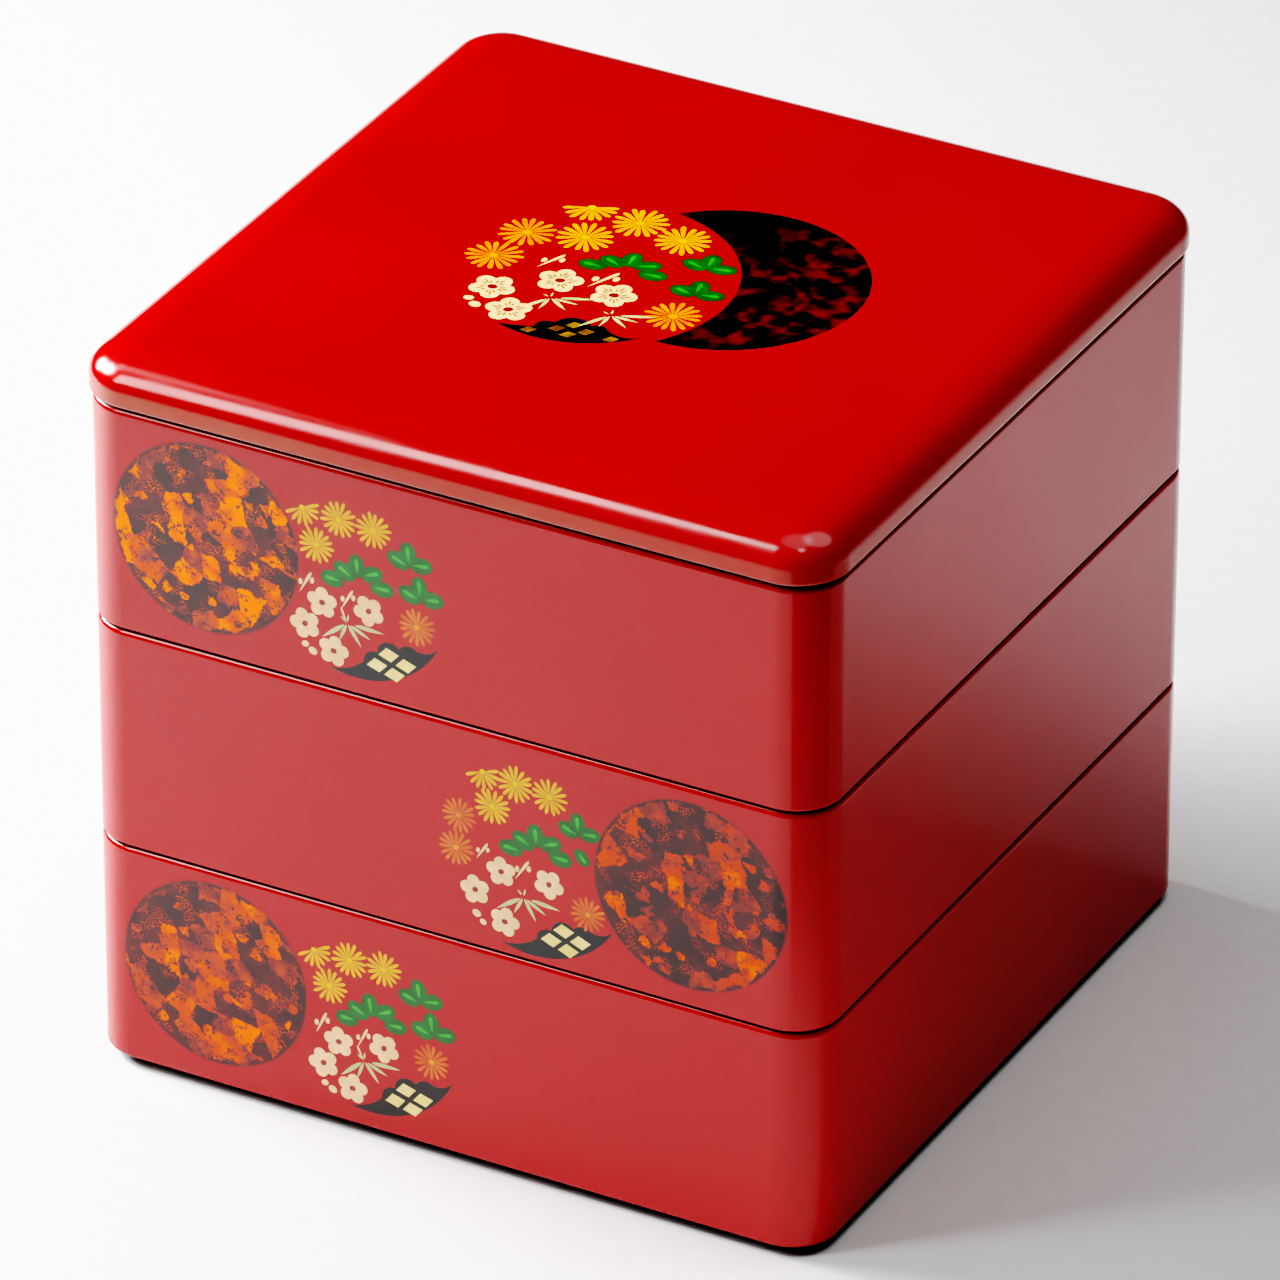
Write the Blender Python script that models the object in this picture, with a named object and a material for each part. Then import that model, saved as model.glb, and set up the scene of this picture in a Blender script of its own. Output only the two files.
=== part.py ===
"""Three-tier square food box with a lift-off lid, in metres, +Z up.

The origin is the centre of the footprint, on the surface that the bottom tier stands on.
Each tier is an open box on a shallow inset foot. The foot of the upper two tiers nests
inside the rim below, and the lid's lip nests inside the rim of the top tier. Every piece is
a loft through rounded squares, which follow the piece's profile from the middle of its
underside to the middle of its upper side.
"""

import math

import bmesh
import bpy

# Driving dimensions of a tier.
TIER_NAMES = ("bottom_tier", "middle_tier", "top_tier")
TIER_SIDE = 0.195
TIER_PITCH = 0.059
TIER_CORNER_RADIUS = 0.012
WALL_THICKNESS = 0.0045
FLOOR_THICKNESS = 0.004
FLOOR_FILLET = 0.003
RIM_ROUND = 0.0008
BASE_ROUND = 0.0005

# The foot of a tier: a raised ring round a slightly recessed panel.
FOOT_HEIGHT = 0.0025
FOOT_RING_WIDTH = 0.007
FOOT_RECESS = 0.0012

# Driving dimensions of the lid.
LID_OVERHANG = 0.001
LID_CORNER_RADIUS = 0.0135
LID_HEIGHT = 0.0119
LID_TOP_THICKNESS = 0.005
LID_UNDER_ROUND = 0.0016
SHOULDER_RUN = 0.013
SHOULDER_RISE = 0.0077
LIP_DEPTH = 0.0025
LIP_WIDTH = 0.0035

# Fits between the pieces.
NEST_CLEARANCE = 0.0006
SEAT_GAP = 0.0003

# How finely round stretches are divided.
CORNER_STEPS = 8
EDGE_STEPS = 3
SHOULDER_STEPS = 7
LEAST_CORNER_RADIUS = 0.0008

COLLECTION_NAME = "tiered_food_box"
VERMILION = (0.48, 0.012, 0.010, 1.0)
LACQUER_ROUGHNESS = 0.16


def tier_ring(half, z):
    """A rounded square of a tier: its corners stay concentric with the outer corner."""
    inset = TIER_SIDE / 2 - half
    return half, z, max(TIER_CORNER_RADIUS - inset, LEAST_CORNER_RADIUS)


def lid_ring(half, z):
    """A rounded square of the lid's outer surface."""
    inset = TIER_SIDE / 2 + LID_OVERHANG - half
    return half, z, max(LID_CORNER_RADIUS - inset, LEAST_CORNER_RADIUS)


def arc(ring, half, z, run, rise, start, end, steps):
    """Rings along an elliptical arc about (half, z), from one angle to another in degrees."""
    rings = []
    for step in range(steps + 1):
        angle = math.radians(start + (end - start) * step / steps)
        rings.append(ring(half + run * math.cos(angle), z + rise * math.sin(angle)))
    return rings


def tier_profile():
    """Rings of a tier whose wall stands on z = 0, with its foot below."""
    outside = TIER_SIDE / 2
    inside = outside - WALL_THICKNESS
    foot = inside - NEST_CLEARANCE
    panel = foot - FOOT_RING_WIDTH
    rim = TIER_PITCH - SEAT_GAP
    underside = -FOOT_HEIGHT
    floor = underside + FOOT_RECESS + FLOOR_THICKNESS

    rings = [
        tier_ring(panel, underside + FOOT_RECESS),
        tier_ring(panel, underside),
        tier_ring(foot, underside),
        tier_ring(foot, 0.0),
    ]
    rings += arc(tier_ring, outside - BASE_ROUND, BASE_ROUND, BASE_ROUND, BASE_ROUND, -90, 0, EDGE_STEPS)
    rings += arc(tier_ring, outside - RIM_ROUND, rim - RIM_ROUND, RIM_ROUND, RIM_ROUND, 0, 90, EDGE_STEPS)
    rings += arc(tier_ring, inside + RIM_ROUND, rim - RIM_ROUND, RIM_ROUND, RIM_ROUND, 90, 180, EDGE_STEPS)
    rings += arc(
        tier_ring, inside - FLOOR_FILLET, floor + FLOOR_FILLET, FLOOR_FILLET, FLOOR_FILLET, 0, -90, EDGE_STEPS
    )
    return rings


def lid_profile():
    """Rings of the lid, whose seam with the top tier is at z = 0, with its lip below."""
    outside = TIER_SIDE / 2 + LID_OVERHANG
    lip = TIER_SIDE / 2 - WALL_THICKNESS - NEST_CLEARANCE
    hollow = lip - LIP_WIDTH
    widest = LID_HEIGHT - SHOULDER_RISE

    rings = [
        tier_ring(hollow, LID_HEIGHT - LID_TOP_THICKNESS),
        tier_ring(hollow, -LIP_DEPTH),
        tier_ring(lip, -LIP_DEPTH),
        tier_ring(lip, 0.0),
    ]
    rings += arc(
        lid_ring, outside - LID_UNDER_ROUND, LID_UNDER_ROUND, LID_UNDER_ROUND, LID_UNDER_ROUND, -90, 0, EDGE_STEPS
    )
    rings += arc(lid_ring, outside - SHOULDER_RUN, widest, SHOULDER_RUN, SHOULDER_RISE, 0, 90, SHOULDER_STEPS)
    return rings


def rounded_square(bm, half, z, radius):
    """Vertices of a rounded square centred on the Z axis, anticlockwise from above."""
    verts = []
    for corner in range(4):
        side_x = 1 if corner in (0, 3) else -1
        side_y = 1 if corner in (0, 1) else -1
        for step in range(CORNER_STEPS + 1):
            angle = math.radians(90 * (corner + step / CORNER_STEPS))
            x = side_x * (half - radius) + radius * math.cos(angle)
            y = side_y * (half - radius) + radius * math.sin(angle)
            verts.append(bm.verts.new((x, y, z)))
    return verts


def loft(name, rings):
    """A closed mesh through the rings, with a flat face across the first and the last."""
    bm = bmesh.new()
    loops = [rounded_square(bm, *ring) for ring in rings]
    for lower, upper in zip(loops, loops[1:]):
        for here in range(len(lower)):
            there = (here + 1) % len(lower)
            bm.faces.new((lower[here], lower[there], upper[there], upper[here]))
    bm.faces.new(reversed(loops[0]))
    bm.faces.new(loops[-1])
    bmesh.ops.recalc_face_normals(bm, faces=bm.faces)
    mesh = bpy.data.meshes.new(name)
    bm.to_mesh(mesh)
    bm.free()
    mesh.shade_smooth()
    mesh.set_sharp_from_angle(angle=math.radians(35))
    return mesh


def lacquer(name):
    """Vermilion lacquer for one piece."""
    material = bpy.data.materials.new(name)
    material.use_nodes = True
    shader = material.node_tree.nodes["Principled BSDF"]
    shader.inputs["Base Color"].default_value = VERMILION
    shader.inputs["Roughness"].default_value = LACQUER_ROUGHNESS
    shader.inputs["Metallic"].default_value = 0.0
    material.diffuse_color = VERMILION
    return material


def place(collection, name, rings, height):
    """Loft one piece and stand its seam at the given height."""
    mesh = loft(name, rings)
    mesh.materials.append(lacquer(name + "_lacquer"))
    piece = bpy.data.objects.new(name, mesh)
    piece.location.z = height
    collection.objects.link(piece)


def build():
    """The whole box, standing on z = 0."""
    for old in list(bpy.data.objects):
        bpy.data.objects.remove(old)
    collection = bpy.data.collections.new(COLLECTION_NAME)
    bpy.context.scene.collection.children.link(collection)
    for level, name in enumerate(TIER_NAMES):
        place(collection, name, tier_profile(), FOOT_HEIGHT + level * TIER_PITCH)
    place(collection, "lid", lid_profile(), FOOT_HEIGHT + len(TIER_NAMES) * TIER_PITCH)


build()
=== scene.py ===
"""A three-tier square food box in vermilion lacquer, closed with its lid, on a pale studio floor.

The tiers and the lid are modelled anew as smooth lacquered wood, each in the place of its solid.
Their ornament is paint that lies flush in the lacquer, so the flat faces are divided along its
outlines and each part takes its own pigment.
"""

import math
import random

import bmesh
import bpy
from mathutils import Matrix, Vector
from mathutils.geometry import delaunay_2d_cdt


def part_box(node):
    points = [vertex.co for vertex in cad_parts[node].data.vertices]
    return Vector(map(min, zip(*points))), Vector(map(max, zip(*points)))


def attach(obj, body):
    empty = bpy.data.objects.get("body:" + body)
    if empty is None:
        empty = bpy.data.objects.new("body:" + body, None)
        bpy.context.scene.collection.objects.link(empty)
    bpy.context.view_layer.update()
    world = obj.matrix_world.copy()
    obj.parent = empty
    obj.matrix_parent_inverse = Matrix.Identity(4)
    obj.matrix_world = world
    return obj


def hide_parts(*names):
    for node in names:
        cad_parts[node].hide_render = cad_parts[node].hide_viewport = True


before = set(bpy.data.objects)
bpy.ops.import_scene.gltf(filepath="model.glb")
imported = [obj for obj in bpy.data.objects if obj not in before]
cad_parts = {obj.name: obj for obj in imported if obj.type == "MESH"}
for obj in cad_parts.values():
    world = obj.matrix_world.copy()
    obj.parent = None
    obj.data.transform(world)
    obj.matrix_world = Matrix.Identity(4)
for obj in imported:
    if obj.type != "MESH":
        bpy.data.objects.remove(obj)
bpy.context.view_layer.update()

MM = 0.001
HAIR = 0.01 * MM

# A tier: an open box whose foot drops inside the rim below.
TIER_PITCH = 59 * MM
TIER_CORNER = 12 * MM
WALL = 4.5 * MM
FLOOR = 4 * MM
FLOOR_FILLET = 3 * MM
RIM_ROUND = 1.6 * MM
BASE_ROUND = 0.9 * MM
FOOT_HEIGHT = 2.5 * MM
FOOT_RING = 7 * MM
FOOT_RECESS = 1.2 * MM
FOOT_ROUND = 0.4 * MM
NEST_CLEARANCE = 0.6 * MM
RING_CORNER = 0.8 * MM

# The lid: a flat top inside a pillow shoulder, with a lip below.
LID_CORNER = 13.5 * MM
LID_TOP = 5 * MM
SHOULDER_RUN = 13 * MM
SHOULDER_RISE = 7.7 * MM
UNDER_ROUND = 1.6 * MM
LIP_DEPTH = 2.5 * MM
LIP_WIDTH = 3.5 * MM
HOLLOW_ROUND = 1 * MM

# How finely the round stretches are cut.
CORNER_CUTS = 24
SHOULDER_CUTS = 18
UNDER_CUTS = 6
EDGE_CUTS = 4


def linear(hex_colour):
    """An sRGB hex colour as linear red, green, blue and full alpha."""
    channels = [int(hex_colour[k:k + 2], 16) / 255 for k in (1, 3, 5)]
    return [c / 12.92 if c <= 0.04045 else ((c + 0.055) / 1.055) ** 2.4 for c in channels] + [1.0]


def begin_block(name, low, high):
    """The start of a piece: a cube between two corners, left in edit mode."""
    bpy.ops.object.select_all(action="DESELECT")
    middle = [(a + b) / 2 for a, b in zip(low, high)]
    size = [b - a for a, b in zip(low, high)]
    bpy.ops.mesh.primitive_cube_add(size=1, location=middle, scale=size)
    bpy.ops.object.transform_apply(location=True, rotation=True, scale=True)
    piece = bpy.context.active_object
    piece.name = name
    piece.data.name = name
    bpy.ops.object.mode_set(mode="EDIT")
    return piece


def choose(kind, wanted):
    """Selects only those faces or edges of the piece being edited that pass a test."""
    bpy.ops.mesh.select_mode(type=kind)
    bpy.ops.mesh.select_all(action="DESELECT")
    mesh = bpy.context.active_object.data
    cage = bmesh.from_edit_mesh(mesh)
    for part in cage.faces if kind == "FACE" else cage.edges:
        if wanted(part):
            part.select_set(True)
    bmesh.update_edit_mesh(mesh)


def level(part, height):
    """Whether a face or an edge lies at one height."""
    return all(abs(vert.co.z - height) < HAIR for vert in part.verts)


def upright(edge):
    """Whether an edge runs straight up."""
    return (edge.verts[0].co - edge.verts[1].co).xy.length < HAIR


def crease(edge, convex=True):
    """Whether two faces meet at an edge squarely, outwards or inwards."""
    return edge.calc_face_angle() > 1.0 and edge.is_convex == convex


def inset(width, rise=0.0):
    bpy.ops.mesh.inset(thickness=width, depth=rise, use_even_offset=True)


def extrude(rise):
    bpy.ops.mesh.extrude_region_move(TRANSFORM_OT_translate={"value": (0, 0, rise)})


def bevel(width, cuts):
    bpy.ops.mesh.bevel(offset=width, offset_type="OFFSET", segments=cuts, profile=0.5, affect="EDGES")


def round_over(run, rise, cuts):
    """Takes the chosen flat face up and in along a quarter of an ellipse."""
    angles = [math.pi / 2 * cut / cuts for cut in range(cuts + 1)]
    for here, there in zip(angles, angles[1:]):
        inset(run * (math.cos(here) - math.cos(there)), rise * (math.sin(there) - math.sin(here)))


def round_creases(height, width, convex=True):
    """Rounds the square edges that run round the piece at one height."""
    choose("EDGE", lambda edge: level(edge, height) and crease(edge, convex))
    bevel(width, EDGE_CUTS)


def model_tier(name):
    """An open box with rounded corners, a soft rim, a filleted floor and a ringed foot."""
    low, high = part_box(name)
    base = low.z + FOOT_HEIGHT
    floor = low.z + FOOT_RECESS + FLOOR
    tier = begin_block("lacquered_" + name, (low.x, low.y, base), high)
    choose("EDGE", upright)
    bevel(TIER_CORNER, CORNER_CUTS)

    choose("FACE", lambda face: level(face, high.z))
    inset(WALL)
    extrude(floor - high.z)

    # The foot's ring is as wide as an inset can cut it, then the panel inside is drawn in to size.
    foot = high.x - WALL - NEST_CLEARANCE
    cut = TIER_CORNER - WALL - NEST_CLEARANCE - RING_CORNER
    choose("FACE", lambda face: level(face, base))
    inset(WALL + NEST_CLEARANCE)
    extrude(-FOOT_HEIGHT)
    inset(cut)
    panel = (foot - FOOT_RING) / (foot - cut)
    bpy.ops.transform.resize(value=(panel, panel, 1))
    extrude(FOOT_RECESS)

    round_creases(high.z, RIM_ROUND)
    round_creases(base, BASE_ROUND)
    round_creases(low.z, FOOT_ROUND)
    round_creases(floor, FLOOR_FILLET, convex=False)
    bpy.ops.object.mode_set(mode="OBJECT")
    return tier


def model_lid():
    """A hollow lid: pillow shoulder above, rounded underside, and a lip that drops in the rim."""
    low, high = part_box("lid")
    seam = low.z + LIP_DEPTH
    widest = high.z - SHOULDER_RISE
    lid = begin_block("lacquered_lid", (low.x, low.y, seam + UNDER_ROUND), (high.x, high.y, widest))
    choose("EDGE", upright)
    bevel(LID_CORNER, CORNER_CUTS)

    choose("FACE", lambda face: level(face, widest))
    round_over(SHOULDER_RUN, SHOULDER_RISE, SHOULDER_CUTS)

    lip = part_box("top_tier")[1].x - WALL - NEST_CLEARANCE
    choose("FACE", lambda face: level(face, seam + UNDER_ROUND))
    round_over(UNDER_ROUND, UNDER_ROUND, UNDER_CUTS)
    inset(high.x - UNDER_ROUND - lip)
    extrude(-LIP_DEPTH)
    inset(LIP_WIDTH)
    extrude(high.z - LID_TOP - low.z)

    round_creases(low.z, FOOT_ROUND)
    round_creases(high.z - LID_TOP, HOLLOW_ROUND, convex=False)
    bpy.ops.object.mode_set(mode="OBJECT")
    return lid


# Outlines are lists of points in millimetres, anticlockwise, drawn about the origin along +X.


def moved(outline, x, y, turn=0.0, size=1.0):
    """An outline sized, turned by degrees and then moved."""
    c = size * math.cos(math.radians(turn))
    s = size * math.sin(math.radians(turn))
    return [(x + c * u - s * v, y + s * u + c * v) for u, v in outline]


def oval(length, width, steps=20):
    angles = [2 * math.pi * k / steps for k in range(steps)]
    return [(length / 2 * math.cos(a), width / 2 * math.sin(a)) for a in angles]


def blade(length, width, widest, start=0.0, steps=9):
    """A blade from start to length, whose greatest width is at that share of it."""
    swell = math.log(0.5) / math.log(widest)
    side = []
    for k in range(1, steps):
        share = k / steps
        side.append((start + (length - start) * share, width / 2 * math.sin(math.pi * share ** swell)))
    under = [(u, -v) for u, v in side]
    return [(start, 0.0)] + under + [(length, 0.0)] + side[::-1]


def petal(length, width, start=0.0, blunt=7, steps=9):
    """A slender petal: a thin heel at start, widest near its tip, which is the rounder the blunter."""
    side = []
    for k in range(1, steps):
        share = math.sin(math.pi / 2 * k / steps)
        swell = share ** 0.75 * (1 - share ** blunt) ** 0.5
        side.append((start + (length - start) * share, width / 2 * swell * (1 + 0.8 / blunt)))
    under = [(u, -v) for u, v in side]
    return [(start, 0.0)] + under + [(length, 0.0)] + side[::-1]


def bowed(corners):
    """A closed outline through corners (x, y, bulge): each side is an arc that swells by its bulge."""
    outline = []
    for (x, y, bulge), (to_x, to_y, _) in zip(corners, corners[1:] + corners[:1]):
        chord = math.hypot(to_x - x, to_y - y)
        turn = math.degrees(math.atan2(to_y - y, to_x - x))
        steps = max(2, round(chord / 1.2) + round(abs(bulge) * 4))
        half = 2 * math.atan2(2 * bulge, chord)
        side = []
        for k in range(steps):
            share = k / steps
            if abs(half) < 1e-6:
                side.append((chord * share, 0.0))
            else:
                radius = chord / 2 / math.sin(half)
                angle = half * (2 * share - 1)
                along = chord / 2 + radius * math.sin(angle)
                side.append((along, -radius * (math.cos(angle) - math.cos(half))))
        outline += moved(side, x, y, turn)
    return outline


# A whole flower's petals go all round. A half flower's hang below the bouquet's round outline.
WHOLE = (0, 360)
HALF = (209, 382)


def chrysanthemum(x, y, radius, pigment, petals=15, turn=0.0, spread=WHOLE, blunt=4, seed=0):
    """Slender petals round a small heart, each laid a little differently. The ground shows between."""
    hand = random.Random(seed)
    start, end = spread
    step = (end - start) / (petals if spread == WHOLE else petals - 1)
    marks = []
    for k in range(petals):
        angle = turn + start + step * (k + hand.uniform(-0.1, 0.1))
        length = radius * hand.uniform(0.93, 1.05)
        marks.append((pigment, moved(petal(length, radius * 0.235, radius * 0.08, blunt), x, y, angle)))
    heart = pigment.replace("flower", "heart")
    marks.append((heart, moved(oval(radius * 0.31, radius * 0.29), x, y)))
    return marks


# The lobes of a pine twig, as (x, y, direction of the needle stroke), about the twig's fork.
PINE_SPREAD = ((-6.9, -1.9, 176), (-3.7, 0.9, 152), (-0.4, 3.1, 95), (3.5, 1.9, 22), (6.2, -1.2, 0))
PINE_TUFT = ((-2.7, 0.6, 158), (-0.2, 2.9, 95), (3.2, 0.6, 8))
PINE_BUD = ((0.0, 0.0, 150),)


def pine(x, y, lobes, size=1.0, turn=0.0):
    """Overlapping rounded lobes of dark green with misty edges, each with one light stroke."""
    mist, body, strokes = [], [], []
    for u, v, way in lobes:
        (cx, cy), = moved([(u, v)], x, y, turn, size)
        (sx, sy), = moved([(-2.0, 0.0)], cx, cy, way + turn, size)
        mist.append(("pine_mist", moved(oval(6.5, 4.7), cx, cy, way + turn, size)))
        body.append(("pine_green", moved(oval(5.9, 4.1), cx, cy, way + turn, size)))
        strokes.append(("needle_green", moved(petal(3.9, 1.2, blunt=5), sx, sy, way + turn, size)))
    return mist + body + strokes


def plum(x, y, radius, turn=0.0, stamens=False):
    """Five round petals run together, with a small dark heart."""
    marks = []
    for k in range(5):
        (cx, cy), = moved([(radius * 0.59, 0.0)], x, y, turn + 72 * k)
        marks.append(("shell_white", moved(oval(radius * 0.86, radius * 0.84), cx, cy, turn + 72 * k)))
    marks.append(("shell_white", moved(oval(radius, radius), x, y)))
    for k in range(15 if stamens else 0):
        reach = radius * (0.76 if k % 3 == 1 else 0.58)
        angle = turn + 72 * (k // 3) + 19 * (k % 3 - 1)
        marks.append(("stamen_gold", moved(blade(reach, radius * 0.09, 0.6, radius * 0.26), x, y, angle)))
    marks.append(("plum_heart", moved(oval(radius * 0.44, radius * 0.38), x, y, turn)))
    return marks


def spray(x, y, length, turn):
    """A tapered plum twig with a bud on either side."""
    marks = [("shell_white", moved(petal(length, length * 0.13), x, y, turn))]
    for along, aside in ((0.40, 0.16), (0.74, -0.17)):
        (bx, by), = moved([(length * along, length * aside)], x, y, turn)
        marks.append(("shell_white", moved(oval(length * 0.24, length * 0.16), bx, by, turn + 24)))
    return marks


def kinked_spray(x, y, length, turn):
    """A plum twig on a thin stalk, which comes down to the bamboo at an angle."""
    stalk = ("shell_white", moved(blade(3.9, 0.5, 0.3, -0.4), x, y, turn - 130))
    return spray(x, y, length, turn) + [stalk]


# A bamboo spray's leaves, as (start, end, direction), about its node.
BAMBOO_LEAVES = (
    (1.0, 8.6, 219), (0.5, 5.6, 247), (0.4, 6.6, 304), (0.9, 6.7, 335), (2.0, 9.7, 358),
    (0.5, 2.4, 82), (0.7, 2.3, 138),
)


def bamboo(x, y, size=1.0, turn=0.0):
    """Thin pointed leaves that fan from a node, with two sheaths above."""
    marks = []
    for start, end, way in BAMBOO_LEAVES:
        width = 0.25 + (end - start) * 0.11
        marks.append(("bamboo_green", moved(blade(end, width, 0.4, start), x, y, way + turn, size)))
    return marks


def pebble(x, y, size, turn):
    return [("shell_white", moved(oval(size, size * 0.82), x, y, turn))]


def cloud(corners, x=0.0, y=0.0, turn=0.0):
    """A dark bank of cloud whose underside follows the bouquet's round outline."""
    return [("cloud_black", moved(bowed(corners), x, y, turn))]


def tiles(x, y, turn, pigment, places, along, across):
    """Slanted four-cornered tiles, as sides along and across, each about its own place."""
    (au, av), (cu, cv) = along, across
    corners = [(-au - cu, -av - cv), (au - cu, av - cv), (au + cu, av + cv), (cu - au, cv - av)]
    tile = [(u / 2, v / 2) for u, v in corners]
    marks = []
    for u, v in places:
        (cx, cy), = moved([(u, v)], x, y, turn)
        marks.append((pigment, moved(tile, cx, cy, turn)))
    return marks


# The cloud of a tier, as (x, y, bulge of the side that follows), about the bouquet's middle.
TIER_CLOUD = [
    (-8.3, -23.2, 6.3), (21.4, -9.6, -1.3), (15.2, -12.9, 1.1), (10.5, -13.6, 2.1),
    (4.7, -15.9, 1.2), (1.0, -19.4, -1.0),
]
LID_CLOUD = [
    (-18.1, -38.7, 6.2), (15.6, -28.4, -2.1), (6.1, -29.6, 1.1), (1.9, -29.7, 2.9),
    (-6.4, -32.1, 1.5), (-9.8, -36.0, -0.3),
]
LID_CRESCENT = [(18.3, -29.3, 48.1), (-6.4, 28.2, -17.5)]
TIER_TILES = [(4.6, -19.4), (7.7, -15.9), (9.2, -20.8), (12.2, -17.6)]
LID_TILES = [(-10.1, -38.1), (-4.6, -34.5), (-1.7, -31.3), (-0.9, -36.0), (2.3, -33.0), (9.0, -33.4)]


def tier_bouquet(x, y, turn=0.0):
    """The bouquet of the top and bottom tiers, about the middle of its round outline."""

    def at(u, v):
        (px, py), = moved([(u, v)], x, y, turn)
        return px, py

    marks = cloud(TIER_CLOUD, x, y, turn)
    marks += tiles(x, y, turn, "pale_gold", TIER_TILES, (3.3, -1.2), (2.1, 2.3))
    marks += chrysanthemum(*at(-14.8, 17.1), 4.8, "flower_yellow", 8, turn, HALF, seed=1)
    for seed, (u, v) in enumerate(((-5.2, 16.5), (3.9, 16.0), (-11.2, 8.2)), 2):
        marks += chrysanthemum(*at(u, v), 4.8, "flower_yellow", turn=11 * seed, seed=seed)
    marks += chrysanthemum(*at(15.2, -6.5), 4.9, "flower_orange", turn=7, seed=9)
    marks += pine(*at(-0.1, 2.3), PINE_SPREAD, turn=turn)
    marks += pine(*at(13.2, 9.4), PINE_TUFT, turn=turn)
    marks += pine(*at(16.1, 1.1), PINE_TUFT, turn=turn)
    for (u, v), way in (((-9.8, -6.7), 20), ((2.5, -5.7), 50), ((-14.4, -13.5), 38), ((-6.9, -18.8), 8)):
        marks += plum(*at(u, v), 3.95, turn + way)
    marks += spray(*at(-15.8, -5.5), 6.8, turn + 62)
    marks += kinked_spray(*at(-4.7, -6.9), 6.3, turn + 61)
    marks += bamboo(*at(-3.2, -10.4), turn=turn)
    marks += pebble(*at(-14.4, -18.9), 1.9, 20) + pebble(*at(-12.4, -20.3), 2.3, -25)
    return marks


def middle_bouquet(x, y):
    """The bouquet of the middle tier, whose right side runs up to the disc."""
    marks = cloud(TIER_CLOUD, x - 0.4, y - 3.4, -3)
    marks += tiles(x - 0.1, y - 2.5, -3, "pale_gold", TIER_TILES, (3.3, -1.2), (2.1, 2.3))
    marks += chrysanthemum(x - 14.5, y + 18.1, 4.8, "flower_yellow", 8, -6, HALF, seed=11)
    for seed, (u, v) in enumerate(((-5.9, 17.2), (3.0, 16.2), (-12.0, 9.5)), 12):
        marks += chrysanthemum(x + u, y + v, 4.8, "flower_yellow", turn=9 * seed, seed=seed)
    for seed, (u, v) in enumerate(((-20.8, 4.7), (-21.6, -4.3), (13.1, -12.5)), 17):
        marks += chrysanthemum(x + u, y + v, 4.7, "flower_orange", turn=5 * seed, seed=seed)
    marks += pine(x - 0.2, y + 1.7, PINE_SPREAD)
    marks += pine(x + 10.6, y + 8.5, PINE_TUFT, size=0.92)
    marks += pine(x + 11.6, y + 2.4, PINE_BUD, size=0.8, turn=160)
    for (u, v), way in (((-9.7, -7.4), 24), ((2.9, -7.3), 60), ((-16.6, -14.2), 30), ((-8.8, -20.7), 5)):
        marks += plum(x + u, y + v, 3.85, way)
    marks += spray(x - 16.2, y - 5.6, 5.6, 58)
    marks += spray(x - 6.0, y - 8.3, 6.8, 58)
    marks += bamboo(x - 3.8, y - 12.6, turn=-4)
    marks += pebble(x - 16.2, y - 20.5, 2.3, -20) + pebble(x - 14.5, y - 22.4, 1.8, -35)
    return marks


def lid_bouquet():
    """The lid's larger bouquet, in the lid's own millimetres."""
    marks = [("crescent_black", bowed(LID_CRESCENT))]
    marks += cloud(LID_CLOUD)
    marks += tiles(0, 0, 0, "leaf_gold", LID_TILES, (2.5, -0.3), (1.2, 2.5))
    marks += chrysanthemum(-25.6, 21.4, 6.9, "flower_yellow", 9, 0, HALF, blunt=7, seed=21)
    for seed, (x, y) in enumerate(((-11.9, 19.8), (1.1, 16.8), (-19.9, 7.6)), 22):
        marks += chrysanthemum(x, y, 7.0, "flower_yellow", 16, 5 * seed, blunt=7, seed=seed)
    for seed, (x, y) in enumerate(((-33.1, 3.3), (-34.6, -10.4), (16.4, -16.7)), 27):
        marks += chrysanthemum(x, y, 7.0, "flower_amber", 16, 8 * seed, blunt=7, seed=seed)
    marks += pine(-4.3, -0.6, PINE_SPREAD, size=1.15, turn=4)
    marks += pine(12.3, 7.6, PINE_TUFT, size=1.15, turn=6)
    marks += pine(15.8, -5.0, PINE_TUFT, size=1.15, turn=6)
    for (x, y), way in (((-27.4, -23.9), 0), ((-15.0, -13.8), 22), ((-0.5, -14.2), 10)):
        marks += plum(x, y, 5.6, way, stamens=True)
    marks += bamboo(-12.9, -22.2, 1.1, 24) + bamboo(3.5, -23.1, 1.1, 24)
    marks += plum(-18.8, -31.9, 5.6, 40, stamens=True)
    marks += spray(-23.0, -10.6, 8.9, 69)
    marks += spray(-8.0, -13.6, 10.2, 69)
    marks += pebble(-29.7, -31.2, 2.6, 10) + pebble(-26.9, -33.3, 3.2, -20)
    return marks


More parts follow.
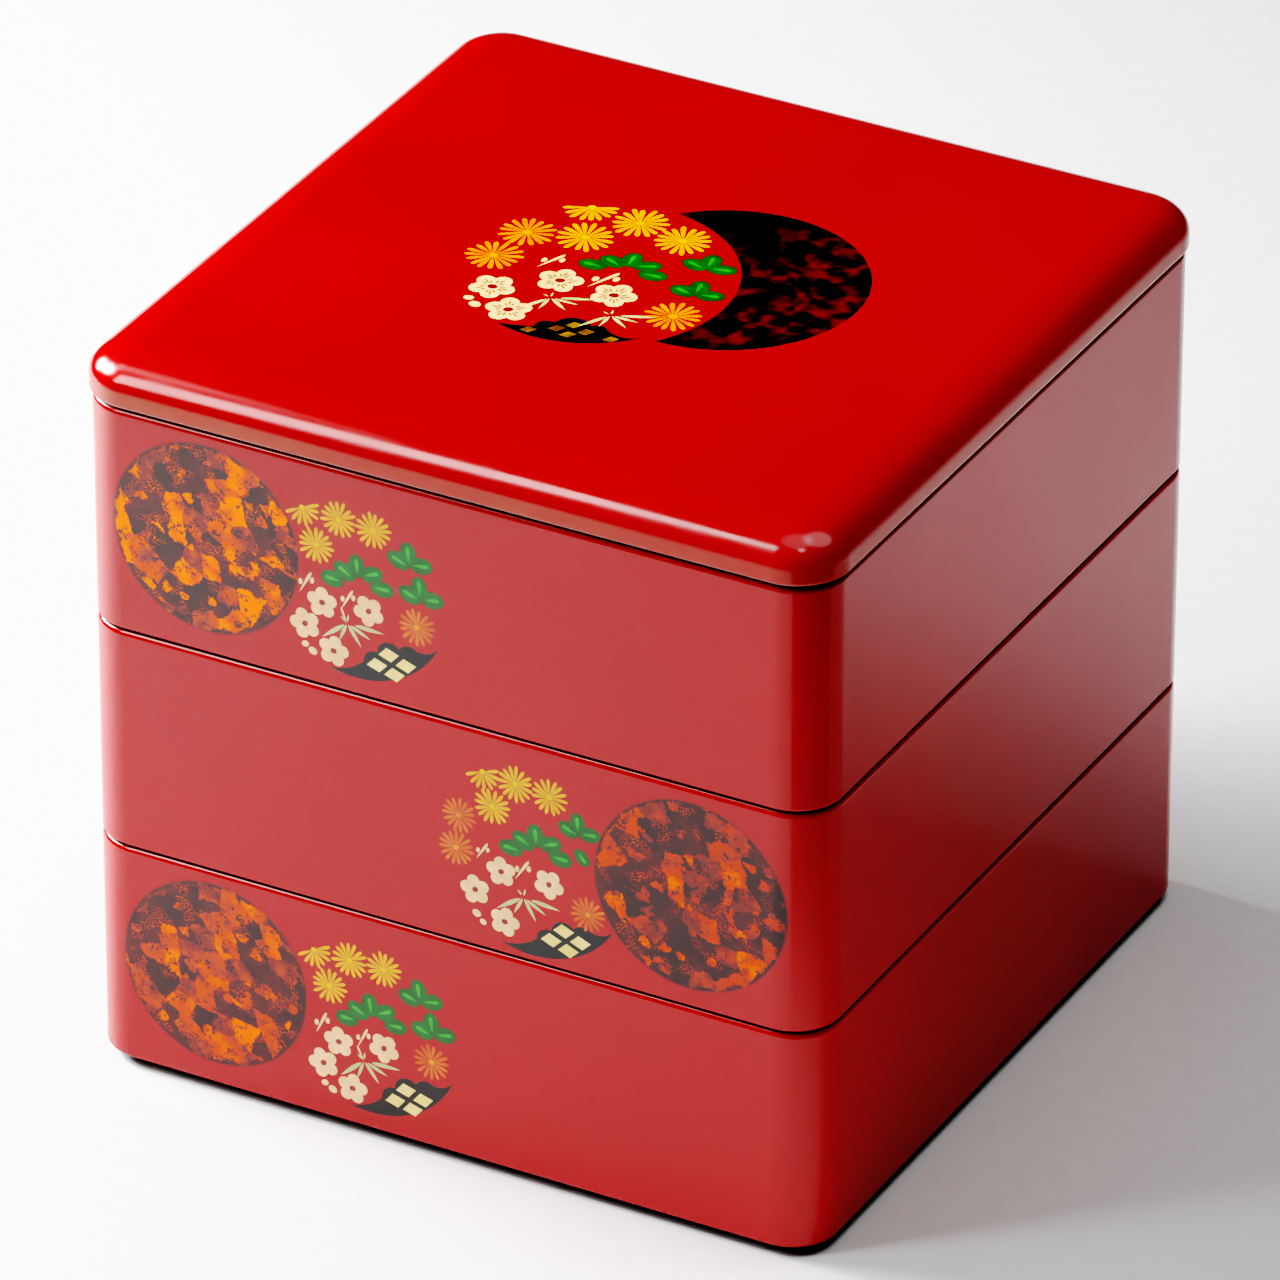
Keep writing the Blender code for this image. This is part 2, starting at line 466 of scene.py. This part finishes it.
def paint_flush(piece, facing, origin, across, up, marks, palette):
    """Divides the piece's broad flat face along the painted outlines, later marks over earlier ones.

    The face's own corners are kept, so the mesh stays closed. A point (u, v) of the marks lies at
    origin + u across + v up.
    """
    names = list(palette)
    for name in names:
        piece.data.materials.append(palette[name])
    mesh = bmesh.new()
    mesh.from_mesh(piece.data)
    flat = max((f for f in mesh.faces if f.normal.dot(facing) > 0.9999), key=lambda f: f.calc_area())
    corners = list(flat.verts)
    points = []
    for corner in corners:
        offset = (corner.co - origin) / MM
        points.append(Vector((offset.dot(across), offset.dot(up))))
    outlines = [list(range(len(points)))]
    slots = [flat.material_index]
    for pigment, outline in marks:
        outlines.append(list(range(len(points), len(points) + len(outline))))
        points += [Vector(point) for point in outline]
        slots.append(len(piece.data.materials) - len(names) + names.index(pigment))
    places, _, parts, sources, _, covers = delaunay_2d_cdt(points, [], outlines, 1, 1e-5, True)
    mesh.faces.remove(flat)
    verts = []
    for place, source in zip(places, sources):
        own = [index for index in source if index < len(corners)]
        if own:
            verts.append(corners[own[0]])
        else:
            verts.append(mesh.verts.new(origin + (across * place.x + up * place.y) * MM))
    for part, cover in zip(parts, covers):
        face = mesh.faces.new([verts[index] for index in part])
        face.material_index = slots[max(cover)]
    mesh.to_mesh(piece.data)
    mesh.free()


def add(tree, kind, inputs=(), **settings):
    """Adds a shader node with its settings. Each input is a value, or the node or socket it comes from."""
    made = tree.nodes.new("ShaderNode" + kind)
    for name, value in settings.items():
        setattr(made, name, value)
    for key, value in dict(inputs).items():
        if isinstance(value, bpy.types.Node):
            value = value.outputs[0]
        if isinstance(value, bpy.types.NodeSocket):
            tree.links.new(value, made.inputs[key])
        else:
            made.inputs[key].default_value = value
    return made


def start_material(name):
    """A new material, its tree, its shader and the surface's place in millimetres."""
    material = bpy.data.materials.new(name)
    material.use_nodes = True
    tree = material.node_tree
    surface = add(tree, "TexCoord").outputs["Object"]
    place = add(tree, "Mapping", {"Vector": surface, "Scale": (1 / MM,) * 3})
    return material, tree, tree.nodes["Principled BSDF"], place


def blend(tree, share, low, high):
    """A colour between two others, by a share from 0 to 1."""
    mix = add(tree, "Mix", {0: share, 6: low, 7: high}, data_type="RGBA")
    return mix.outputs[2]


def ramp(tree, value, low, high, to_low=0.0, to_high=1.0):
    """A value taken smoothly from one range to another."""
    levels = {"Value": value, "From Min": low, "From Max": high, "To Min": to_low, "To Max": to_high}
    return add(tree, "MapRange", levels, interpolation_type="SMOOTHSTEP")


def noise(tree, place, grain, detail=2.0, rough=0.5):
    """Cloudy noise whose patches are about as many millimetres across as the grain says."""
    inputs = {"Vector": place, "Scale": 0.5 / grain, "Detail": detail, "Roughness": rough}
    return add(tree, "TexNoise", inputs)


def polish(tree, shader, place, ior=1.56, low=0.14, high=0.22):
    """The skin of a brushed and rubbed lacquer: a faint wave, fine rubbing and a few dust nibs."""
    shader.inputs["IOR"].default_value = ior
    rub = noise(tree, place, 9.0, 4.0)
    tree.links.new(ramp(tree, rub, 0.3, 0.7, low, high).outputs[0], shader.inputs["Roughness"])
    wave = noise(tree, place, 7.0)
    nib = add(tree, "TexVoronoi", {"Vector": place, "Scale": 1 / 22, "Randomness": 1.0})
    dust = ramp(tree, nib, 0.0, 0.012, 0.35, 0.0)
    height = add(tree, "Math", {0: wave, 1: dust}, operation="ADD")
    bump = add(tree, "Bump", {"Height": height, "Strength": 1.0, "Distance": 0.012 * MM})
    tree.links.new(bump.outputs[0], shader.inputs["Normal"])


VERMILION = "#B60402"
VERMILION_DEEP = "#AC0201"

# How far above the seam the painted shade reaches, in millimetres, on a tier and on the lid.
TIER_SEAM_SHADE = 0.15
LID_SEAM_SHADE = 0.95
# The heights above a tier's base, in millimetres, over which the painted shade on its rim begins.
RIM_SHADE_LINE = (58.34, 58.46)
# The heights, in millimetres, over which the lid's painted reflection band begins, and over which it fades
# out.
REFLECTION_BAND_BEGINS = (180.3, 180.5)
REFLECTION_BAND_FADES = (183.6, 184.8)
# The disc is laid in the face that lies in front of this plane, in millimetres.
FRONT_PLANE = -96.0


def vermilion(tree, place, shade_reach=TIER_SEAM_SHADE):
    """The body colour: cinnabar pigment in lacquer, a little uneven where the brush laid it.

    At the seams, where one piece stands on the next, it is painted near-black as painted shade in the gaps.
    """
    uneven = ramp(tree, noise(tree, place, 34.0, 3.0), 0.3, 0.7)
    red = blend(tree, uneven, linear(VERMILION_DEEP), linear(VERMILION))
    height = add(tree, "SeparateXYZ", {0: place}).outputs["Z"]
    raised = add(tree, "Math", {0: height, 1: FOOT_HEIGHT / MM}, operation="SUBTRACT")
    above = add(tree, "Math", {0: raised, 1: TIER_PITCH / MM}, operation="FLOORED_MODULO")
    # Painted shade: near-black at the foot and at the rim of each seam, where the gap between pieces lies
    # in shadow.
    foot = ramp(tree, above, shade_reach - 0.08, shade_reach + 0.08, 1.0, 0.0)
    rim_shade = ramp(tree, above, *RIM_SHADE_LINE)
    seam_shade = add(tree, "Math", {0: foot, 1: rim_shade}, operation="MAXIMUM")
    return blend(tree, seam_shade, red, linear("#120303"))


def lid_lacquer():
    """Urushi lacquer with cinnabar, brushed on and rubbed to a gloss.

    It gives a deep red under a clear mirror-like skin, whose reflections are a little soft, and an orange
    band along the lid's side that is a painted reflection of the pale floor.
    """
    material, tree, shader, place = start_material("lid_lacquer")
    height = add(tree, "SeparateXYZ", {0: place}).outputs["Z"]
    above = ramp(tree, height, *REFLECTION_BAND_BEGINS)
    below = ramp(tree, height, *REFLECTION_BAND_FADES, 1.0, 0.0)
    side = add(tree, "Math", {0: above, 1: below}, operation="MULTIPLY")
    # Painted reflection: a patchy orange band along the lid's side, standing in for the pale floor mirrored
    # there.
    reflection_patches = ramp(tree, noise(tree, place, 12.0), 0.3, 0.7, 0.55, 1.0)
    reflection_band = add(tree, "Math", {0: side, 1: reflection_patches}, operation="MULTIPLY")
    red = vermilion(tree, place, LID_SEAM_SHADE)
    tree.links.new(blend(tree, reflection_band, red, linear("#A82C08")), shader.inputs["Base Color"])
    polish(tree, shader, place)
    return material


def stirred(tree, place, grain, reach):
    """A place shifted about by noise, so what is drawn on it bends and frays."""
    drift = noise(tree, place, grain, 3.0)
    return add(
        tree, "VectorMath", {0: drift.outputs["Color"], 1: (reach,) * 3, 2: place}, operation="MULTIPLY_ADD"
    )


def flakes(tree, place, seed, size, slant, cover):
    """One scatter of torn, slanted flakes: the share that they cover, and each one's own tone."""
    frayed = stirred(tree, stirred(tree, place, 2.0, 2.4), 0.4, 1.3)
    slanted = add(
        tree, "Mapping",
        {
            "Vector": frayed, "Location": (seed, 0, 0), "Rotation": (0, 0, slant),
            "Scale": (size, size * 0.86, 1),
        },
        vector_type="TEXTURE",
    )
    cell = add(tree, "TexVoronoi", {"Vector": slanted, "Scale": 1.0}, voronoi_dimensions="2D")
    chance = add(tree, "SeparateColor", {0: cell.outputs["Color"]})
    laid = add(tree, "Math", {0: chance.outputs[0], 1: cover}, operation="LESS_THAN")
    kept = ramp(tree, noise(tree, slanted, 0.22, 4.0, 0.6), 0.42, 0.44)
    return add(tree, "Math", {0: laid, 1: kept}, operation="MULTIPLY"), chance.outputs[1]


def flaked_disc(name, x, z, radius, seed, cover, low_tone, high_tone):
    """The tier's vermilion lacquer with a round of broken foil flakes laid in its front.

    The foil lies on dark brown lacquer and under amber lacquer, which was rubbed through unevenly.
    It gives torn flakes that go from red through orange to yellow, under the same clear skin.
    """
    material, tree, shader, place = start_material(name)
    front = add(
        tree, "Mapping",
        {
            "Vector": add(tree, "TexCoord").outputs["Object"], "Scale": (1 / MM, 0, 1 / MM),
            "Rotation": (-math.pi / 2, 0, 0), "Location": (-x, -z, 0),
        },
    )
    reach = add(tree, "VectorMath", {0: front}, operation="LENGTH").outputs["Value"]
    wander = ramp(tree, noise(tree, front, 1.6, 3.0), 0.2, 0.8, -1.0, 1.0)
    ragged = add(tree, "Math", {0: reach, 1: wander}, operation="ADD")
    outside = add(tree, "SeparateXYZ", {0: place}).outputs["Y"]
    face = add(tree, "Math", {0: outside, 1: FRONT_PLANE}, operation="LESS_THAN")
    within = ramp(tree, reach, radius - 0.7, radius + 0.4, 1.0, 0.0)
    inlaid = add(tree, "Math", {0: within, 1: face}, operation="MULTIPLY")

    whole, tone = flakes(tree, front, seed, 6.2, math.radians(-38), cover)
    broken, small_tone = flakes(tree, front, seed + 40, 2.3, math.radians(-20), 0.15)
    crumbs = ramp(tree, noise(tree, front, 0.20, 1.0), 0.58, 0.62)
    crumbled = ramp(tree, noise(tree, front, 3.0, 1.0), 0.50, 0.60)
    dust = add(tree, "Math", {0: crumbs, 1: crumbled}, operation="MULTIPLY")
    small = add(tree, "Math", {0: broken, 1: dust}, operation="MAXIMUM")
    laid = add(tree, "Math", {0: whole, 1: small}, operation="MAXIMUM")
    inner = ramp(tree, ragged, radius - 1.3, radius - 0.7, 1.0, 0.0)
    foiled = add(tree, "Math", {0: laid, 1: inner}, operation="MULTIPLY")
    share = add(tree, "Math", {0: foiled, 1: inlaid}, operation="MULTIPLY")

    own = add(tree, "Mix", {0: whole, 2: small_tone, 3: tone})
    drift = ramp(tree, noise(tree, front, 2.6, 3.0), 0.3, 0.7, -0.35, 0.35)
    amber = add(tree, "Math", {0: own, 1: drift}, operation="ADD")
    red_gold = blend(tree, ramp(tree, amber, 0.0, low_tone), linear("#6A1A0C"), linear("#CC3A0A"))
    foil = blend(tree, ramp(tree, amber, low_tone, high_tone), red_gold, linear("#F45E06"))
    dim = ramp(tree, noise(tree, front, 5.0), 0.35, 0.65)
    ground = blend(tree, dim, linear("#2A0606"), linear("#460C0A"))
    inlay = blend(tree, foiled, ground, foil)
    tree.links.new(blend(tree, inlaid, vermilion(tree, place), inlay), shader.inputs["Base Color"])
    glint = ramp(tree, amber, 0.0, high_tone, 0.0, 0.6)
    metal = add(tree, "Math", {0: share, 1: glint}, operation="MULTIPLY")
    tree.links.new(metal.outputs[0], shader.inputs["Metallic"])
    polish(tree, shader, place)
    return material


def pigment(name, deep, bright, grain=1.6, low=0.2, high=0.3):
    """Paint of pigment and lacquer, laid with a fine brush: strokes leave it a little uneven."""
    material, tree, shader, place = start_material(name)
    share = ramp(tree, noise(tree, place, grain, 3.0), 0.3, 0.7)
    tree.links.new(blend(tree, share, linear(deep), linear(bright)), shader.inputs["Base Color"])
    polish(tree, shader, place, low=low, high=high)
    return material


def clouded_black():
    """Black lacquer over a little red foil, rubbed so that the red shows as soft dim clouds."""
    material, tree, shader, place = start_material("clouded_black_lacquer")
    cloudy = ramp(tree, noise(tree, stirred(tree, place, 5.0, 4.0), 2.6, 1.6, 0.6), 0.42, 0.72)
    thin = ramp(tree, noise(tree, place, 9.0, 1.0), 0.30, 0.55)
    share = add(tree, "Math", {0: cloudy, 1: thin}, operation="MULTIPLY")
    tree.links.new(blend(tree, share, linear("#060304"), linear("#640E0C")), shader.inputs["Base Color"])
    polish(tree, shader, place)
    return material


def palette():
    return {
        "crescent_black": clouded_black(),
        "flower_yellow": pigment("flower_yellow_paint", "#E88A04", "#F8A00A"),
        "flower_orange": pigment("flower_orange_paint", "#DA480A", "#EA5E18"),
        "flower_amber": pigment("flower_amber_paint", "#E4620A", "#F67E1C"),
        "heart_yellow": pigment("heart_yellow_paint", "#F0A800", "#FCBE04"),
        "heart_orange": pigment("heart_orange_paint", "#E8640E", "#F67A1C"),
        "heart_amber": pigment("heart_amber_paint", "#F08414", "#FA9C24"),
        "pine_mist": pigment("pine_mist_paint", "#5A1E06", "#2E3A0A"),
        "pine_green": pigment("pine_green_paint", "#0A4C10", "#0E5A1A"),
        "needle_green": pigment("needle_green_paint", "#2A8E1E", "#389C2C"),
        "shell_white": pigment("shell_white_paint", "#F0C47A", "#F8D492"),
        "plum_heart": pigment("plum_heart_paint", "#7A1204", "#8E1C08"),
        "stamen_gold": pigment("stamen_gold_paint", "#8A5A10", "#A87620"),
        "bamboo_green": pigment("bamboo_green_paint", "#B8BC70", "#D0D48A"),
        "cloud_black": pigment("cloud_black_paint", "#060607", "#0C0B0B"),
        "pale_gold": pigment("pale_gold_paint", "#F0D868", "#FAE684"),
        "leaf_gold": pigment("leaf_gold_paint", "#5A3C0C", "#8E661E"),
    }


def finish_piece(piece, nodes):
    """Smooths the shading, keeps the flats flat, and puts the piece in its place in the frame."""
    bpy.ops.object.select_all(action="DESELECT")
    piece.select_set(True)
    bpy.context.view_layer.objects.active = piece
    bpy.ops.object.shade_smooth_by_angle(angle=math.radians(35), keep_sharp_edges=False)
    normals = piece.modifiers.new("flat_faces", "WEIGHTED_NORMAL")
    normals.keep_sharp = True
    normals.weight = 80
    bpy.ops.object.modifier_apply(modifier=normals.name)
    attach(piece, "root")
    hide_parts(*nodes)


FRONT = Vector((0, -1, 0))
RIGHTWARD = Vector((1, 0, 0))
BACKWARD = Vector((0, 1, 0))
UPWARD = Vector((0, 0, 1))

paints = palette()

# Each tier's bouquet, then its disc: its middle and radius, and how its foil is laid and coloured.
FRONTS = {
    "bottom_tier": (tier_bouquet(-19.5, 28.9, 3.5), (-62.2, 30.5, 25.0), (3.0, 0.52, 0.5, 1.3)),
    "middle_tier": (middle_bouquet(24.7, 29.5), (64.5, 29.9, 25.2), (11.0, 0.40, 0.7, 1.4)),
    "top_tier": (tier_bouquet(-22.0, 28.8), (-62.6, 30.6, 25.0), (7.0, 0.45, 0.3, 0.9)),
}
for tier_name, (bouquet, (x, z, radius), foil) in FRONTS.items():
    tier = model_tier(tier_name)
    low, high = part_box(tier_name)
    base = low.z + FOOT_HEIGHT
    tier.data.materials.append(flaked_disc(tier_name + "_lacquer", x, base / MM + z, radius, *foil))
    paint_flush(tier, FRONT, Vector((0, low.y, base)), RIGHTWARD, UPWARD, bouquet, paints)
    finish_piece(tier, [tier_name])

lid = model_lid()
lid.data.materials.append(lid_lacquer())
paint_flush(lid, UPWARD, Vector((0, 0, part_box("lid")[1].z)), RIGHTWARD, BACKWARD, lid_bouquet(), paints)
finish_piece(lid, ["lid"])


def paper_floor():
    """Matt white background paper, with a fibre that is just uneven enough to be paper."""
    bpy.ops.object.select_all(action="DESELECT")
    bpy.ops.mesh.primitive_plane_add(size=8, location=(0, 0, 0))
    floor = bpy.context.active_object
    floor.name = "studio_floor"
    material, tree, shader, place = start_material("white_background_paper")
    fibre = ramp(tree, noise(tree, place, 3.0, 4.0), 0.2, 0.8)
    tree.links.new(blend(tree, fibre, linear("#E6E6E6"), linear("#E9E9E9")), shader.inputs["Base Color"])
    shader.inputs["Roughness"].default_value = 0.9
    shader.inputs["Specular IOR Level"].default_value = 0.2
    floor.data.materials.append(material)


# The card's side and the place of its middle in metres, and its turn in degrees.
CARD_SIDE = 0.9
CARD_PLACE = (0.652, -0.420, 0.4 * MM)
CARD_TURN = 15.7
# How far from its corner by the box the painted shade goes from pale to black, in millimetres.
CARD_FADE = (30, 300)


def graduated_card():
    """A card of matt felt in front to the right, pale by the box and black farther off: painted shade.

    Its nap gives no shine. It is seen only in the lacquer, where its painted shade darkens a corner. The
    floor under it is lit and drawn as if the card weren't there.
    """
    bpy.ops.object.select_all(action="DESELECT")
    turn = math.radians(CARD_TURN)
    bpy.ops.mesh.primitive_plane_add(size=CARD_SIDE, location=CARD_PLACE, rotation=(0, 0, turn))
    card = bpy.context.active_object
    card.name = "graduated_card"
    card.visible_camera = False
    card.visible_shadow = False
    card.visible_diffuse = False
    material, tree, shader, place = start_material("reflected_shade_card")
    nap = ramp(tree, noise(tree, place, 2.0, 3.0), 0.3, 0.7)
    black = blend(tree, nap, linear("#0E0E0E"), linear("#141414"))
    half = CARD_SIDE / 2 / MM
    corner = add(tree, "VectorMath", {0: place, 1: (-half, half, 0)}, operation="DISTANCE").outputs["Value"]
    # Painted shade: pale by the box and black farther off, seen only in the lacquer's reflections.
    reflected_shade = blend(tree, ramp(tree, corner, *CARD_FADE), linear("#E4E4E4"), black)
    tree.links.new(reflected_shade, shader.inputs["Base Color"])
    shader.inputs["Roughness"].default_value = 1.0
    shader.inputs["Specular IOR Level"].default_value = 0.0
    card.data.materials.append(material)


LAMP_AIM = Vector((0, 0, 0.1))
DIM_ROOM = (0.02, 0.02, 0.02, 1)


def softbox(name, place, shape, width, height, watts):
    """A lamp with an even face, turned from its place to the middle of the box."""
    lamp = bpy.data.lights.new(name, "AREA")
    lamp.shape = shape
    lamp.size = width
    lamp.size_y = height
    lamp.energy = watts
    holder = bpy.data.objects.new(name, lamp)
    bpy.context.scene.collection.objects.link(holder)
    way = LAMP_AIM - Vector(place)
    holder.matrix_world = Matrix.Translation(place) @ way.to_track_quat("-Z", "Y").to_matrix().to_4x4()


def studio_light():
    """A strong key and a low lamp from the left, a tall strip in front, and soft light from above."""
    softbox("key_softbox", (-0.981, -0.245, 0.835), "ELLIPSE", 0.47, 0.47, 31.5)
    softbox("left_softbox", (-0.91, 0.0, 0.52), "ELLIPSE", 0.36, 0.36, 15.0)
    softbox("front_strip", (-0.39, -0.50, 0.74), "RECTANGLE", 0.16, 0.6, 4.0)
    softbox("high_softbox", (-0.65, -0.20, 1.08), "ELLIPSE", 0.3, 0.3, 1.1)
    softbox("corner_spot", (0.42, -0.42, 1.58), "ELLIPSE", 0.25, 0.25, 1.4)
    softbox("overhead_softbox", (0.0, 0.0, 1.7), "ELLIPSE", 1.0, 1.0, 5.0)
    softbox("back_softbox", (0.5, 0.5, 1.6), "ELLIPSE", 1.0, 1.0, 7.0)
    world = bpy.context.scene.world or bpy.data.worlds.new("studio")
    bpy.context.scene.world = world
    world.use_nodes = True
    world.node_tree.nodes["Background"].inputs["Color"].default_value = DIM_ROOM


# The picture's tones, as (light in the scene, light shown): deep blacks, and whites that roll off.
PICTURE_TONES = [
    (0.03, 0.001), (0.05, 0.003), (0.08, 0.021), (0.12, 0.055), (0.16, 0.104), (0.22, 0.194), (0.3, 0.31),
    (0.4, 0.41), (0.5, 0.47), (0.75, 0.55), (1.1, 0.66), (1.6, 0.85),
]
BRIGHTEST = 2.5


def set_tones():
    view = bpy.context.scene.view_settings
    view.view_transform = "Standard"
    view.use_curve_mapping = True
    tones = view.curve_mapping
    tones.white_level = (BRIGHTEST,) * 3
    tones.extend = "HORIZONTAL"
    curve = tones.curves[3]
    curve.points[-1].location = (1.0, 0.98)
    for light, shown in PICTURE_TONES:
        curve.points.new(light / BRIGHTEST, shown)
    tones.update()


# The camera stands in front, to the right and above, far off, so the box is drawn nearly without taper.
CAMERA_DISTANCE = 2.8887
CAMERA_AZIMUTH = 28.29
CAMERA_ELEVATION = 30.21
CAMERA_ROLL = 0.1
CAMERA_SIDESTEP = -0.97 * MM
CAMERA_LIFT = -1.26 * MM
CAMERA_TARGET = Vector((0, 0, 92.98 * MM))
CAMERA_LENS = 342.2
CAMERA_SENSOR = 36.0


def set_camera():
    azimuth = math.radians(CAMERA_AZIMUTH)
    elevation = math.radians(CAMERA_ELEVATION)
    flat = math.cos(elevation)
    back = Vector((math.sin(azimuth) * flat, -math.cos(azimuth) * flat, math.sin(elevation)))
    side = Vector((math.cos(azimuth), math.sin(azimuth), 0))
    roll = Matrix.Rotation(math.radians(CAMERA_ROLL), 3, "Z")
    turn = Matrix((side, back.cross(side), back)).transposed() @ roll
    lens = bpy.data.cameras.new("camera")
    lens.lens = CAMERA_LENS
    lens.sensor_width = CAMERA_SENSOR
    lens.clip_end = 20
    camera = bpy.data.objects.new("camera", lens)
    place = CAMERA_TARGET + turn @ Vector((CAMERA_SIDESTEP, CAMERA_LIFT, CAMERA_DISTANCE))
    camera.matrix_world = Matrix.Translation(place) @ turn.to_4x4()
    bpy.context.scene.collection.objects.link(camera)
    bpy.context.scene.camera = camera


paper_floor()
graduated_card()
studio_light()
set_camera()
set_tones()
